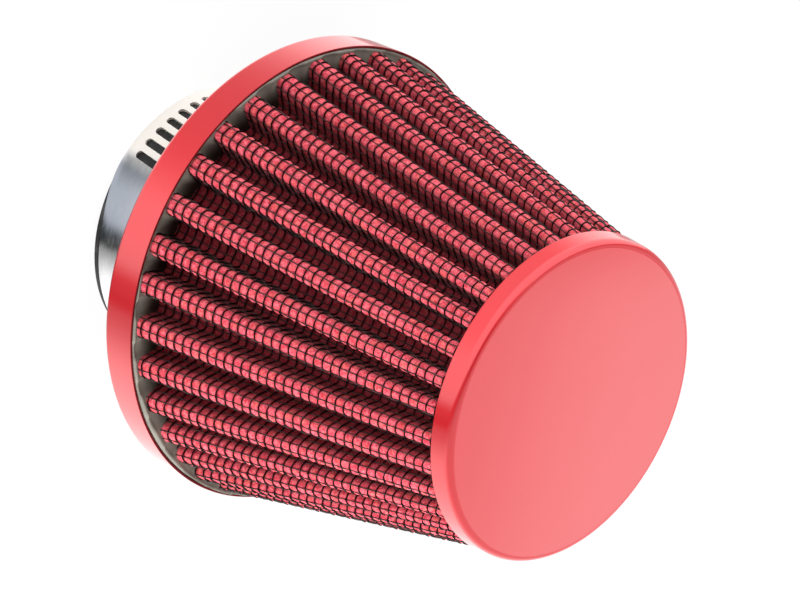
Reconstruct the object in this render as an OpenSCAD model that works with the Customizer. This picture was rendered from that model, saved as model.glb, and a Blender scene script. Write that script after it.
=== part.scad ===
// Cone air filter: a pleated cotton wall between a base ring and an end cap,
// on a rubber neck that a worm drive clamp closes round the inlet pipe.
// The origin is the centre of the neck's open end, and +Z runs from the neck to the cap.

/* [Base ring] */
// Outer diameter of the aluminium ring at its front lip
ring_d = 95; // [92:1:104]
// Height of the ring along the axis
ring_h = 8.2; // [7:0.1:12]
// Sheet thickness of the ring
ring_wall = 0.75; // [0.5:0.05:1]
// How much smaller the ring's radius is at its back edge than at its lip
ring_draft = 0.3; // [0:0.05:0.6]
// Outer radius of the ring's rounded back edge
ring_edge_r = 1.2; // [1.1:0.1:2]
// Width of the back edge that is turned in over the rubber base
ring_turn_in = 3.5; // [2.5:0.1:6]

/* [End cap] */
// Outer diameter of the cap at the edge of its skirt
cap_d = 65.9; // [63:0.1:72]
// Height of the cap from its skirt's edge to its face
cap_h = 5; // [4:0.1:9]
// Sheet thickness of the cap
cap_wall = 0.8; // [0.5:0.05:1]
// How much smaller the cap's radius is at its face than at its skirt's edge
cap_draft = 0.4; // [0:0.05:0.6]
// Outer radius of the cap's rounded edge
cap_edge_r = 1.6; // [1.1:0.1:2.2]

/* [Pleated wall] */
// Number of pleats round the cone
pleat_count = 34; // [30:1:36]
// Length of the pleats that shows between the ring's lip and the cap's skirt
pleat_len = 67.6; // [50:0.1:90]
// Width of a cotton ridge at the ring
ridge_w_ring = 3.9; // [3.5:0.05:4.2]
// Width of a cotton ridge at the cap
ridge_w_cap = 2.7; // [2.6:0.05:2.9]
// Depth of the valleys between the ridges at the ring
pleat_depth_ring = 5.8; // [4:0.1:7]
// Depth of the valleys between the ridges at the cap
pleat_depth_cap = 4.4; // [3:0.1:5]
// Width of the sloping shoulder that rounds a ridge's crest
ridge_shoulder = 1.1; // [0.4:0.05:1.2]
// Thickness of the cotton wall
cotton_t = 0.9; // [0.7:0.05:1]
// Gap between the cotton ridges and the inside of the ring
pleat_gap_ring = 0.7; // [0.5:0.05:1.5]
// Gap between the cotton ridges and the inside of the cap
pleat_gap_cap = 0.8; // [0.5:0.05:1.5]
// Turn of the first ridge from the clamp's side
pleat_phase = 2.3; // [0:0.1:10]

/* [Wire mesh] */
// Diameter of a mesh wire
wire_d = 0.36; // [0.25:0.01:0.4]
// Number of wires modelled round the outside of the pleats
outer_hoops = 6; // [3:1:7]
// Number of wires modelled round the inside of the pleats
inner_hoops = 2; // [2:1:3]
// Every how many valleys the outer mesh has a wire along the cone
outer_wire_step = 2; // [2:1:4]

/* [Potting] */
// How deep the base potting lies below the ring's lip
potting_recess = 0.4; // [0.1:0.05:1]
// How deep the pleats reach inside the cap's skirt
cap_seat = 1; // [0.5:0.1:1.5]
// Width of potting that shows inside the pleats
potting_lip = 1.6; // [1:0.1:3]

/* [Rubber neck] */
// Bore of the neck, which is the diameter of the pipe that it fits
neck_bore_d = 48; // [40:1:52]
// Wall of the neck under the clamp
neck_wall = 3.2; // [2.5:0.1:4]
// Length of the neck from its open end to the ring
neck_len = 25.7; // [22:0.1:40]
// Length of the bead at the neck's open end
rim_len = 1.3; // [1:0.1:2]
// Height of that bead above the clamp's seat
rim_bead = 0.35; // [0.2:0.05:0.6]
// Thickness of the rubber base inside the ring
base_t = 3; // [2:0.1:3.5]
// Radius of the rounded inlet where the bore opens into the filter
inlet_r = 4; // [2:0.1:5]
// Radius of the fillet where the neck meets its base
root_r = 3; // [1:0.1:5]

/* [Clamp] */
// Width of the clamp's band
band_w = 12.7; // [12:0.1:14]
// Thickness of the band
band_t = 0.6; // [0.5:0.05:0.7]
// Distance of the band's edge from the bead
band_gap = 0.15; // [0.1:0.05:2]
// Distance between the band's slots, which is also the pitch of the screw
slot_pitch = 3.175; // [3:0.005:3.3]
// Width of a slot
slot_w = 1.45; // [1.3:0.05:1.6]
// Plain margin between a slot's end and the band's edge
slot_margin = 1.4; // [1.2:0.1:2.5]
// Number of slots on the band from the screw onwards
slots_ahead = 18; // [10:1:24]
// Number of slots on the band's free tail
slots_tail = 8; // [3:1:10]
// Radius of the screw below its thread
screw_root_r = 3.9; // [3.6:0.05:4.2]
// Height of the screw's thread
thread_h = 0.65; // [0.5:0.05:0.7]
// Radius of the screw's journals
journal_r = 2.6; // [2:0.1:3]
// Running clearance round the journals
journal_gap = 0.05; // [0.02:0.01:0.1]
// Length of the screw's housing
housing_len = 13; // [12:0.1:16]
// Sheet thickness of the housing
housing_t = 0.8; // [0.6:0.05:1]
// Width of the screw's hexagon across its flats
hex_af = 8; // [7:0.1:8]
// Height of the hexagon
hex_h = 5; // [3:0.1:7]

/* [Hidden] */
$fn = 96;

// Clearance between round pieces that are pressed or bonded together
seat_gap = 0.1;
// Clearance between sheets that lie on each other in the clamp, and under a mesh wire
lay_gap = 0.05;

// Heights along the axis, from the neck's open end
ring_z = neck_len;
lip_z = ring_z + ring_h;
base_top_z = ring_z + ring_wall + base_t;
potting_z = lip_z - potting_recess;
skirt_z = lip_z + pleat_len;
pleat_top_z = skirt_z + cap_seat;
face_z = skirt_z + cap_h;

// Radii of the ring, the cap and the neck
ring_r = ring_d / 2;
ring_back_r = ring_r - ring_draft;
cap_r = cap_d / 2;
cap_face_r = cap_r - cap_draft;
neck_r = neck_bore_d / 2;
seat_r = neck_r + neck_wall;

// Crests of the cotton ridges at the base potting and at the cap potting
crest_ring_r = ring_r - ring_wall - pleat_gap_ring;
crest_cap_r = cap_r - cap_wall - pleat_gap_cap;
mesh_t = lay_gap + wire_d;
inner_fold_r = crest_ring_r - pleat_depth_ring - cotton_t - mesh_t;
potting_bore_r = inner_fold_r - potting_lip;

// A corner of 45 degrees moves along its faces by this share of an offset
corner_share = tan(22.5);
pleat_angle = 360 / pleat_count;

// Layers of the clamp, from the rubber outwards
band_z = rim_len + band_gap + band_w / 2;
band_r = seat_r + seat_gap;
foot_t = band_t - lay_gap;
fixed_end_r = band_r + foot_t + lay_gap;
strap_r = fixed_end_r + band_t + lay_gap;
tail_r = band_r + band_t + lay_gap;
screw_x = strap_r + band_t + 3 * lay_gap + screw_root_r;

// Angles at which the band changes layer, from the screw's side
fixed_end_a = 10;
strap_a = 16;
strap_ramp_a = 12;
raise_a = -18;
raise_ramp_a = 4;
lower_a = -21;
// Radii of the band's middle, along which its slots are spaced
strap_mid_r = strap_r + band_t / 2;
band_mid_r = band_r + band_t / 2;
strap_len = strap_mid_r * strap_a * PI / 180;
ramp_mid_len = (strap_mid_r + band_mid_r) / 2 * strap_ramp_a * PI / 180;
ramp_len = sqrt(pow(ramp_mid_len, 2) + pow(strap_mid_r - band_mid_r, 2));
tail_end_a = -((slots_tail + 1.5) * slot_pitch + band_w / 2) / (tail_r + band_t / 2) * 180 / PI;
slot_len = band_w - 2 * slot_margin;
slot_slant = atan(slot_pitch / (2 * PI * (screw_x - strap_mid_r)));

// Screw and housing
thread_r = screw_root_r + thread_h;
thread_crest_w = 0.7;
thread_base_w = 1.3;
web_t = housing_t;
worm_len = housing_len - 2 * web_t - 0.4;
collar_r = 4.1;
collar_t = 1.2;
nose_len = 0.8;
drive_slot_w = 1.2;
drive_slot_depth = 2;
arch_r = thread_r + 0.3;
side_gap = 0.1;
channel_w = band_w + 2 * side_gap;
channel_x = strap_r + band_t + 0.25;
foot_w = 2.2;

red = [0.93, 0.25, 0.29];
cotton_red = [0.75, 0.16, 0.2];
grey = [0.55, 0.53, 0.5];
black = [0.16, 0.16, 0.17];
steel = [0.8, 0.81, 0.83];

// Half of a ridge's section, in the ridge's own frame: x across the ridge and y outwards.
// The offset grows the section on all its faces.
function ridge_half(width, crest, depth, shoulder, offset) = [
    [width / 2 + offset, crest - depth + offset],
    [width / 2 + offset, crest - shoulder + offset * corner_share],
    [width / 2 - shoulder + offset * corner_share, crest + offset]
];

// The shoulder is limited so that the inside of the fold stays open
function shoulder_of(width) =
    min(ridge_shoulder, width / 2 - (cotton_t + mesh_t) * corner_share - 0.1);

function whole_ridge(half) = concat([for (p = half) [-p[0], p[1]]], [for (i = [2:-1:0]) half[i]]);

function ridge_at_ring(offset) = whole_ridge(ridge_half(
    ridge_w_ring, crest_ring_r, pleat_depth_ring, shoulder_of(ridge_w_ring), offset));

function ridge_at_cap(offset) = whole_ridge(ridge_half(
    ridge_w_cap, crest_cap_r, pleat_depth_cap, shoulder_of(ridge_w_cap), offset));

// The closed outline of all pleats at a height, grown by the offset
function pleat_loop(z, offset) =
    let (share = (z - potting_z) / (pleat_top_z - potting_z))
    let (ring_ridge = ridge_at_ring(offset), cap_ridge = ridge_at_cap(offset))
    [
        for (i = [0:pleat_count - 1], k = [0:len(ring_ridge) - 1])
            let (a = pleat_phase + i * pleat_angle)
            let (p = (1 - share) * ring_ridge[k] + share * cap_ridge[k])
            [p[1] * cos(a) - p[0] * sin(a), p[1] * sin(a) + p[0] * cos(a), z]
    ];

// A closed ring whose section has one corner on each loop
module ring_of_loops(loops) {
    count = len(loops[0]);
    sides = len(loops);
    polyhedron(
        points = [for (loop = loops) each loop],
        faces = [
            for (k = [0:sides - 1], i = [0:count - 1])
                let (next_k = (k + 1) % sides, next_i = (i + 1) % count)
                [k * count + i, next_k * count + i, next_k * count + next_i, k * count + next_i]
        ]
    );
}

// One wire that follows the pleats at a height. Its side is 1 outside the cotton, or -1 inside it.
module pleat_wire(z, side) {
    face = side > 0 ? lay_gap : -cotton_t - lay_gap;
    low = pleat_loop(z - side * wire_d / 2, face);
    high = pleat_loop(z + side * wire_d / 2, face);
    crest = pleat_loop(z, face + side * wire_d);
    ring_of_loops([low, crest, high]);
}

// Wires at even heights between the two pottings
module pleat_wires(count, side) {
    spacing = (pleat_top_z - potting_z) / count;
    for (i = [0:count - 1]) pleat_wire(potting_z + (i + 0.5) * spacing, side);
}

// Straight wires along the middle of the outer valleys, laid over the wires that cross them
module valley_wires(step) {
    centre_lift = 2 * mesh_t - wire_d / 2;
    low_r = crest_ring_r - pleat_depth_ring + centre_lift;
    high_r = crest_cap_r - pleat_depth_cap + centre_lift;
    rise = pleat_top_z - potting_z;
    lean = atan((low_r - high_r) / rise);
    inset = wire_d / 2 * sin(lean);
    for (i = [0:step:pleat_count - 1])
        rotate([0, 0, pleat_phase + (i + 0.5) * pleat_angle])
            translate([low_r, 0, potting_z + inset])
                rotate([0, -lean, 0])
                    cylinder(d = wire_d, h = rise / cos(lean) - 2 * inset, $fn = 24);
}

// The cotton gauze, folded into pleats and bonded at both ends
module cotton_media() {
    color(cotton_red)
        ring_of_loops([
            pleat_loop(potting_z, 0),
            pleat_loop(pleat_top_z, 0),
            pleat_loop(pleat_top_z, -cotton_t),
            pleat_loop(potting_z, -cotton_t)
        ]);
}

module outer_mesh() {
    color(black) {
        pleat_wires(outer_hoops, 1);
        valley_wires(outer_wire_step);
    }
}

module inner_mesh() {
    color(black) pleat_wires(inner_hoops, -1);
}

// A quarter of a bent sheet's edge, with its centre at the origin
module bent_edge(outer, thickness) {
    intersection() {
        difference() {
            circle(outer);
            circle(outer - thickness);
        }
        square(outer);
    }
}

// A pressed cup of aluminium sheet with its back edge turned in
module base_ring() {
    lip_chamfer = ring_wall / 4;
    edge_z = ring_z + ring_edge_r;
    color(red) rotate_extrude() {
        translate([ring_back_r - ring_edge_r, edge_z]) mirror([0, 1]) bent_edge(ring_edge_r, ring_wall);
        translate([ring_back_r - ring_turn_in, ring_z]) square([ring_turn_in - ring_edge_r, ring_wall]);
        polygon([
            [ring_back_r - ring_wall, edge_z],
            [ring_back_r, edge_z],
            [ring_r, lip_z - lip_chamfer],
            [ring_r - lip_chamfer, lip_z],
            [ring_r - ring_wall, lip_z]
        ]);
    }
}

// A drawn cup of aluminium sheet with a flat face and a rounded edge
module end_cap() {
    edge_z = face_z - cap_edge_r;
    color(red) rotate_extrude() {
        translate([0, face_z - cap_wall]) square([cap_face_r - cap_edge_r, cap_wall]);
        translate([cap_face_r - cap_edge_r, edge_z]) bent_edge(cap_edge_r, cap_wall);
        polygon([
            [cap_r - cap_wall, skirt_z],
            [cap_r, skirt_z],
            [cap_face_r, edge_z],
            [cap_face_r - cap_wall, edge_z]
        ]);
    }
}

// The compound in the cap, in which the pleats end
module cap_potting() {
    potting_r = cap_face_r - cap_wall - seat_gap;
    top_z = face_z - cap_wall - lay_gap;
    chamfer = cap_edge_r - cap_wall + seat_gap;
    color(grey) rotate_extrude()
        polygon([
            [0, pleat_top_z],
            [potting_r, pleat_top_z],
            [potting_r, top_z - chamfer],
            [potting_r - chamfer, top_z],
            [0, top_z]
        ]);
}

// The compound in the ring, on the rubber base, in which the pleats end
module base_potting() {
    wall_r = ring_back_r - ring_wall - seat_gap;
    color(grey) rotate_extrude()
        polygon([
            [potting_bore_r, base_top_z],
            [wall_r, base_top_z],
            [wall_r + ring_draft * (potting_z - base_top_z) / ring_h, potting_z],
            [potting_bore_r, potting_z]
        ]);
}

// The moulded neck and its base, which is one piece of rubber
module rubber_neck() {
    base_r = ring_back_r - ring_wall - seat_gap;
    corner = ring_edge_r - ring_wall + seat_gap;
    sill_z = ring_z + ring_wall;
    back_z = ring_z + ring_wall / 3;
    boss_r = ring_back_r - ring_turn_in - seat_gap;
    rim_r = seat_r + rim_bead;
    rim_round = 0.4;
    color(black) rotate_extrude() {
        difference() {
            union() {
                translate([neck_r, 0]) square([neck_wall, base_top_z]);
                translate([neck_r, back_z]) square([boss_r - neck_r, base_top_z - back_z]);
                polygon([
                    [boss_r, sill_z + lay_gap],
                    [base_r - corner, sill_z + lay_gap],
                    [base_r, sill_z + lay_gap + corner],
                    [base_r, base_top_z],
                    [boss_r, base_top_z]
                ]);
                polygon([
                    [neck_r, 0],
                    [rim_r - rim_round, 0],
                    [rim_r, rim_round],
                    [rim_r, rim_len - rim_bead],
                    [seat_r, rim_len],
                    [neck_r, rim_len]
                ]);
                difference() {
                    translate([seat_r, back_z - root_r]) square(root_r);
                    translate([seat_r + root_r, back_z - root_r]) circle(root_r);
                }
            }
            translate([neck_r, base_top_z - inlet_r]) square(inlet_r);
        }
        intersection() {
            translate([neck_r + inlet_r, base_top_z - inlet_r]) circle(inlet_r);
            translate([neck_r, base_top_z - inlet_r]) square(inlet_r);
        }
    }
}

// A smooth step from one radius to another over a span of angle
function blend(a, from_a, span, from_r, to_r) =
    from_r + (to_r - from_r) * (1 - cos(180 * max(0, min(1, (a - from_a) / span)))) / 2;

// The strip's inner radius along its course, from the end of its tail at a negative angle,
// below the screw, once round the neck and up on the saddle at its fixed end
function strip_r(a) =
    a < lower_a ? blend(a, lower_a - strap_ramp_a, strap_ramp_a, tail_r, strap_r)
    : a < 180 ? blend(a, strap_a, strap_ramp_a, strap_r, band_r)
    : blend(a, 360 + raise_a - raise_ramp_a, raise_ramp_a, band_r, fixed_end_r);

// Where a point of the strip lies, by its distance from the screw along the strip
function strip_angle(s) =
    s < strap_len ? s / strap_mid_r * 180 / PI
    : s < strap_len + ramp_len ? strap_a + strap_ramp_a * (s - strap_len) / ramp_len
    : strap_a + strap_ramp_a + (s - strap_len - ramp_len) / band_mid_r * 180 / PI;

// The strip seen along the axis
module band_course() {
    course_a = 360 + fixed_end_a - tail_end_a;
    steps = ceil(course_a / 2.5);
    angles = [for (i = [0:steps]) tail_end_a + course_a * i / steps];
    polygon(concat(
        [for (a = angles) strip_r(a) * [cos(a), sin(a)]],
        [for (i = [steps:-1:0]) let (a = angles[i]) (strip_r(a) + band_t) * [cos(a), sin(a)]]
    ));
}

// The radius from which a slot is cut, so that it passes through the outermost layer alone
function cut_from(a) =
    a < lower_a ? tail_r - lay_gap / 2
    : a < strap_a ? strap_r - lay_gap / 2
    : seat_r;

// A slot's outline, upright, with round ends
module slot_outline() {
    straight = slot_len - slot_w;
    square([slot_w, straight], center = true);
    for (end = [-1, 1]) translate([0, end * straight / 2]) circle(d = slot_w, $fn = 32);
}

// A cutter that stands on the outermost layer's lower face and reaches outwards
module radial_cutter(a) {
    rotate([0, 0, a])
        translate([cut_from(a), 0, band_z])
            rotate([90, 0, 90])
                linear_extrude(strap_r + 2 * band_t - cut_from(a))
                    children();
}

module clamp_band() {
    color(steel) difference() {
        translate([0, 0, band_z - band_w / 2]) linear_extrude(band_w) band_course();
        for (i = [-slots_tail:slots_ahead])
            radial_cutter(strip_angle(i * slot_pitch)) rotate([0, 0, -slot_slant]) slot_outline();
        radial_cutter(tail_end_a)
            difference() {
                translate([-1, -band_w]) square([band_w / 2 + 1, 2 * band_w]);
                translate([band_w / 2, 0]) circle(d = band_w);
            }
    }
}

// The curved plate between the housing's feet, on which the band's fixed end lies
module clamp_saddle() {
    reach_a = 15;
    color(steel)
        translate([0, 0, band_z - band_w / 2 + foot_w])
            rotate([0, 0, -reach_a])
                rotate_extrude(angle = 2 * reach_a)
                    translate([band_r, 0]) square([foot_t, band_w - 2 * foot_w - lay_gap]);
}

// The housing's section across the screw, with x along the radius and y along the axis
module housing_outline() {
    difference() {
        union() {
            circle(arch_r + housing_t);
            translate([channel_x - screw_x, -arch_r - housing_t])
                square([screw_x - channel_x, 2 * (arch_r + housing_t)]);
            translate([neck_r - screw_x, -channel_w / 2 - housing_t])
                square([channel_x + housing_t - neck_r, channel_w + 2 * housing_t]);
        }
        circle(arch_r);
        translate([neck_r - screw_x, -arch_r]) square([screw_x - neck_r, 2 * arch_r]);
        translate([neck_r - screw_x, -channel_w / 2]) square([channel_x - neck_r, channel_w]);
    }
}

// Lays a section that is drawn across the screw along it, centred on the housing
module along_screw(length) {
    translate([screw_x, 0, band_z])
        rotate([90, 0, 0])
            linear_extrude(length, center = true)
                children();
}

// One end wall of the housing, with the bore in which the screw turns
module housing_web() {
    web_r = arch_r + housing_t / 2;
    sill_x = channel_x - screw_x;
    difference() {
        union() {
            circle(web_r);
            translate([sill_x, -web_r]) square([-sill_x, 2 * web_r]);
        }
        circle(journal_r + journal_gap);
        translate([sill_x - web_r, -web_r]) square([web_r, 2 * web_r]);
    }
}

// The housing's feet, folded in under the band's fixed end
module housing_feet() {
    for (side = [-1, 1])
        translate([0, 0, band_z + side * (channel_w + housing_t - foot_w) / 2])
            intersection() {
                cylinder(r = band_r + foot_t, h = foot_w + housing_t / 2, center = true);
                translate([seat_r, 0, 0]) cube([foot_w * 4, housing_len, foot_w * 2], center = true);
            }
}

module clamp_housing() {
    color(steel) difference() {
        union() {
            along_screw(housing_len) housing_outline();
            for (side = [-1, 1])
                translate([0, side * (housing_len - web_t) / 2, 0])
                    along_screw(web_t) housing_web();
            housing_feet();
        }
        cylinder(r = band_r, h = 3 * band_w, center = true);
        translate([0, 0, -1]) cylinder(r = seat_r + rim_bead + seat_gap, h = rim_len + lay_gap + 1);
    }
}

// The thread's section across the screw: one lobe, which the twist winds into a single start
module thread_section() {
    crest_a = 180 * thread_crest_w / slot_pitch;
    base_a = 180 * thread_base_w / slot_pitch;
    steps = 24;
    polygon([
        for (i = [0:steps - 1])
            let (a = 360 * i / steps, off = min(a, 360 - a))
            let (share = max(0, min(1, (base_a - off) / (base_a - crest_a))))
            (screw_root_r + thread_h * share) * [cos(a), sin(a)]
    ]);
}

// The slotted hexagon head with its upper corners turned off, standing on the origin
module screw_head() {
    corner_r = hex_af / 2 / cos(30);
    difference() {
        intersection() {
            cylinder(r = corner_r, h = hex_h, $fn = 6);
            cylinder(r1 = corner_r + hex_h, r2 = hex_af / 2 - 0.2, h = hex_h + 0.01);
        }
        translate([0, 0, hex_h]) cube([3 * corner_r, drive_slot_w, 2 * drive_slot_depth], center = true);
    }
}

// Right-handed, so that it draws the strip towards its own head when turned clockwise
module clamp_screw() {
    turns = worm_len / slot_pitch;
    collar_y = housing_len / 2 + 0.2;
    color(steel)
        translate([screw_x, 0, band_z])
            rotate([-90, 0, 0]) {
                translate([0, 0, -worm_len / 2])
                    rotate([0, 0, 180 - 180 * turns])
                        linear_extrude(worm_len, twist = -360 * turns, slices = ceil(12 * turns), $fn = 24)
                            thread_section();
                translate([0, 0, -collar_y - collar_t])
                    cylinder(r = journal_r, h = collar_y + collar_t + housing_len / 2 + nose_len);
                translate([0, 0, -collar_y - collar_t]) cylinder(r = collar_r, h = collar_t);
                translate([0, 0, -collar_y - collar_t]) rotate([180, 0, 0]) screw_head();
            }
}

base_ring();
rubber_neck();
base_potting();
cotton_media();
outer_mesh();
inner_mesh();
cap_potting();
end_cap();
clamp_band();
clamp_saddle();
clamp_housing();
clamp_screw();
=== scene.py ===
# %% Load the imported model
import math

import bmesh
import bpy
from mathutils import Matrix, Vector


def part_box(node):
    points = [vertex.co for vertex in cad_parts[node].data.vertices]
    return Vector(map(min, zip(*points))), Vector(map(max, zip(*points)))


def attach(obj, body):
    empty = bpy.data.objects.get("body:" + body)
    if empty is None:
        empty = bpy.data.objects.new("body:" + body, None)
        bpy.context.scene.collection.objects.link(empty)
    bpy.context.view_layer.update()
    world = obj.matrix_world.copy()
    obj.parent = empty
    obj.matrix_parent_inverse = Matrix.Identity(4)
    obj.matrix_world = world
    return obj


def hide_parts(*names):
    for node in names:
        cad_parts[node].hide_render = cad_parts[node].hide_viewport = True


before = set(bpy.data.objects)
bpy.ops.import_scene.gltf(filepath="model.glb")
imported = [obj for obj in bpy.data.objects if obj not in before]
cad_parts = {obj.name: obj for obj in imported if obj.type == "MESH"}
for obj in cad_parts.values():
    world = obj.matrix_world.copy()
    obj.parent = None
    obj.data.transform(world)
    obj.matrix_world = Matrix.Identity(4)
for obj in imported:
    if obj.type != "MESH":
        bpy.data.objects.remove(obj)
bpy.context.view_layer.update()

scene = bpy.context.scene
print("nodes:", ", ".join(sorted(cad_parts)))

# %% [markdown]
# ## Sizes
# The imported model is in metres, and a filter is easier to think of in millimetres, so every size
# below is written in millimetres and multiplied once. What the model can say by itself, such as
# where the ring's lip or the cap's face lies, is read from its boxes, so that the looks follow the
# model when it changes.

# %% Sizes
MM = 0.001
lip_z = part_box("base_ring")[1].z
skirt_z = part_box("end_cap")[0].z
media_low, media_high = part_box("cotton_media")
pleats = 34
half_pitch = math.pi / pleats
first_ridge = math.radians(2.3)
cotton = 0.9 * MM
print(f"ring's lip at {lip_z / MM:.1f} mm, cap's skirt at {skirt_z / MM:.1f} mm")

# %% [markdown]
# ## Camera
# The photograph was taken from far away with a long lens, so the cone hardly narrows with distance.
# The view was worked out once by fitting circles to the ring, the cap and the neck's rim. The
# filter stands on its neck here, and the camera is turned about its own axis until the cap points
# to the lower right, as in the photograph.

# %% Camera
def turned_matrix(right, up, back, place):
    columns = [Vector(v).normalized() for v in (right, up, back)]
    matrix = Matrix(columns).transposed().to_4x4()
    matrix.translation = Vector(place) * MM
    return matrix


camera_data = bpy.data.cameras.new("camera")
camera_data.lens = 229
camera_data.sensor_width = 36
camera_data.clip_start = 0.05
camera_data.clip_end = 20
camera = bpy.data.objects.new("camera", camera_data)
scene.collection.objects.link(camera)
view_right = (0.70170, -0.16033, 0.69420)
view_up = (0.51680, 0.78526, -0.34102)
view_back = (-0.49046, 0.59805, 0.63387)
camera.matrix_world = turned_matrix(view_right, view_up, view_back, (-484.95, 596.29, 687.2))
scene.camera = camera
print("camera at", [round(v, 3) for v in camera.location])

# %% [markdown]
# ## Writing node trees as Python
# Shader maths and Geometry Nodes get long when every node is wired by hand. A small class wraps an
# output socket, and its operators add Math or Vector Math nodes, so a rule reads like a formula.
# Every other node comes from one method that sets the node's options first and then its inputs.

# %% Sockets and trees
class Socket:
    """An output in a node tree. Operators on it add Math or Vector Math nodes."""

    def __init__(self, tree, socket):
        self.tree, self.socket = tree, socket

    def __add__(self, other): return self.tree.maths("ADD", self, other)
    def __radd__(self, other): return self.tree.maths("ADD", other, self)
    def __sub__(self, other): return self.tree.maths("SUBTRACT", self, other)
    def __rsub__(self, other): return self.tree.maths("SUBTRACT", other, self)
    def __mul__(self, other): return self.tree.maths("MULTIPLY", self, other)
    def __rmul__(self, other): return self.tree.maths("MULTIPLY", other, self)
    def __truediv__(self, other): return self.tree.maths("DIVIDE", self, other)
    def __rtruediv__(self, other): return self.tree.maths("DIVIDE", other, self)
    def __pow__(self, other): return self.tree.maths("POWER", self, other)
    def __neg__(self): return self.tree.maths("MULTIPLY", self, -1.0)
    def __abs__(self): return self.tree.maths("ABSOLUTE", self)


def pick(sockets, key):
    """The socket with that index, identifier or shown name."""
    if isinstance(key, int):
        return sockets[key]
    same = [s for s in sockets if s.identifier == key] or [s for s in sockets if s.name == key and s.enabled]
    return same[0]


class Tree:
    """Adds nodes to one node tree."""

    def __init__(self, tree):
        self.tree = tree

    def node(self, kind, settings=None, inputs=None):
        node = self.tree.nodes.new(kind)
        for name, value in (settings or {}).items():
            setattr(node, name, value)
        for key, value in (inputs or {}).items():
            socket = pick(node.inputs, key)
            if isinstance(value, Socket):
                self.tree.links.new(value.socket, socket)
            else:
                socket.default_value = value
        return node

    def add(self, kind, settings=None, inputs=None, out=0):
        return self.output(self.node(kind, settings, inputs), out)

    def output(self, node, out):
        return Socket(self, pick(node.outputs, out))

    def maths(self, operation, *terms):
        vector = any(isinstance(t, Socket) and t.socket.type == "VECTOR" for t in terms)
        if vector:
            terms = [(t,) * 3 if isinstance(t, (int, float)) else t for t in terms]
        kind = "ShaderNodeVectorMath" if vector else "ShaderNodeMath"
        return self.add(kind, {"operation": operation}, dict(enumerate(terms)))

    def parts(self, vector):
        node = self.node("ShaderNodeSeparateXYZ", None, {0: vector})
        return [self.output(node, i) for i in range(3)]

    def vector(self, x, y, z):
        return self.add("ShaderNodeCombineXYZ", None, {0: x, 1: y, 2: z})

    def colours(self, share, first, second):
        return self.add("ShaderNodeMix", {"data_type": "RGBA"},
                        {"Factor_Float": share, "A_Color": first, "B_Color": second}, "Result_Color")

    def dot(self, first, second):
        return self.add("ShaderNodeVectorMath", {"operation": "DOT_PRODUCT"}, {0: first, 1: second}, "Value")

    def ramp(self, value, low, high, out_low=0.0, out_high=1.0):
        return self.add("ShaderNodeMapRange", {"interpolation_type": "SMOOTHSTEP"}, {
            "Value": value, "From Min": low, "From Max": high, "To Min": out_low, "To Max": out_high})


def geometry_tree(name, inputs, outputs):
    """A Geometry Nodes tree with named inputs, and its input and output nodes."""
    group = bpy.data.node_groups.new(name, "GeometryNodeTree")
    for label, kind, value in inputs:
        socket = group.interface.new_socket(label, in_out="INPUT", socket_type="NodeSocket" + kind)
        if value is not None:
            socket.default_value = value
    for label, kind in outputs:
        group.interface.new_socket(label, in_out="OUTPUT", socket_type="NodeSocket" + kind)
    tree = Tree(group)
    source = tree.node("NodeGroupInput")
    given = {label: tree.output(source, i) for i, (label, kind, value) in enumerate(inputs)}
    return tree, given, tree.node("NodeGroupOutput")


def grow(name, group, values):
    """Runs a tree on an empty object, and keeps the result as a plain mesh."""
    piece = bpy.data.objects.new(name, bpy.data.meshes.new(name))
    scene.collection.objects.link(piece)
    modifier = piece.modifiers.new("rule", "NODES")
    modifier.node_group = group
    for item in group.interface.items_tree:
        if item.item_type == "SOCKET" and item.in_out == "INPUT" and item.name in values:
            modifier[item.identifier] = values[item.name]
    piece.update_tag()
    return settled(piece)


def settled(piece):
    """Turns what a piece's modifiers make into its plain mesh, and removes them."""
    evaluated = piece.evaluated_get(bpy.context.evaluated_depsgraph_get())
    mesh = bpy.data.meshes.new_from_object(evaluated)
    piece.modifiers.clear()
    piece.data = mesh
    mesh.name = piece.name
    print(f"{piece.name}: {sum(len(p.vertices) - 2 for p in mesh.polygons)} triangles")
    return piece


# %% [markdown]
# ## Finishes
# Eight finishes cover the filter. Anodised aluminium is bare metal under a dyed, clear oxide skin,
# so it is a metal with a thin coat over it: the metal gives the soft red and the coat the sharp
# pale reflections. Everything else is built in the same way, from what the real surface is, but
# some shade and one highlight are painted into colours: along the ring's lip, in the cotton's
# folds, on the potting near the pleats and on one side of the clamp strip.
# Patterns read the piece's own coordinates, so they stay on it in every view.

# %% A helper for finishes
def finish(name, build):
    """A material whose shader comes from build, a function of its tree."""
    material = bpy.data.materials.new(name)
    material.use_nodes = True
    material.node_tree.nodes.clear()
    tree = Tree(material.node_tree)
    place = tree.add("ShaderNodeTexCoord", None, None, "Object")
    shader = build(tree, place)
    tree.node("ShaderNodeOutputMaterial", None, {"Surface": shader})
    return material


def noise(tree, place, size, detail=2.0, stretch=(1, 1, 1)):
    """Noise from 0 to 1 whose grains are about size millimetres across."""
    scaled = tree.maths("MULTIPLY", place, tuple(s / (size * MM) for s in stretch))
    return tree.add("ShaderNodeTexNoise", None, {"Vector": scaled, "Scale": 1.0, "Detail": detail}, "Fac")


def bump(tree, height, depth, strength=1.0):
    """A normal from a height that runs from 0 to 1, depth millimetres deep."""
    return tree.add("ShaderNodeBump", None, {"Height": height, "Distance": depth * MM, "Strength": strength})


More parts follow.
